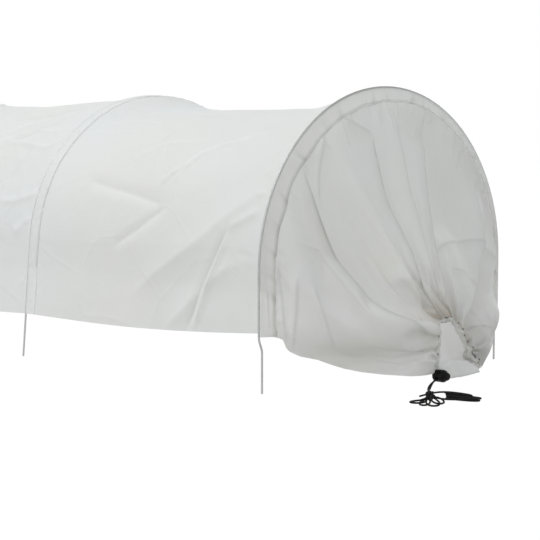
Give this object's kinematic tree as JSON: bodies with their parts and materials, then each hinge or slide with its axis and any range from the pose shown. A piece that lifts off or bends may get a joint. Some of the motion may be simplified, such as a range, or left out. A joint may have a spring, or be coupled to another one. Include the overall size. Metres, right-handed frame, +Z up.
{
  "type": "garden row tunnel",
  "caption": "Low garden tunnel of bent wire hoops sewn into a translucent film cover, each end drawn in to a small mouth by a drawstring with a cord lock.",
  "frame": {"origin": "on the ground under the middle of the tunnel, level with the tips of the hoop legs", "axes": "+X along the tunnel towards the front end, which is the end in the picture; -Y is the long side in the picture; +Z up"},
  "size_m": [3.636, 0.5328, 0.4128],
  "materials": {
    "wire": "galvanised",
    "film": "translucent",
    "lock": "moulded",
    "cord": "braided"
  },
  "bodies": {
    "root": {"hoop_1": "wire", "hoop_2": "wire", "hoop_3": "wire", "hoop_4": "wire", "hoop_5": "wire", "hoop_6": "wire", "hoop_7": "wire", "sleeve_1": "film", "sleeve_2": "film", "sleeve_3": "film", "sleeve_4": "film", "sleeve_5": "film", "sleeve_6": "film", "sleeve_7": "film", "cover_bay_1": "film", "cover_bay_2": "film", "cover_bay_3": "film", "cover_bay_4": "film", "cover_bay_5": "film", "cover_bay_6": "film", "front_gather": "film", "front_casing": "film", "front_lock_barrel": "lock", "front_lock_button": "lock", "front_cord_tail_a": "cord", "front_cord_tail_b": "cord", "front_cord_knot": "cord", "front_cord_front_hank": "cord", "front_cord_side_hank": "cord", "back_gather": "film", "back_casing": "film", "back_lock_barrel": "lock", "back_lock_button": "lock", "back_cord_tail_a": "cord", "back_cord_tail_b": "cord", "back_cord_knot": "cord", "back_cord_front_hank": "cord", "back_cord_side_hank": "cord"}
  },
  "joints": []
}
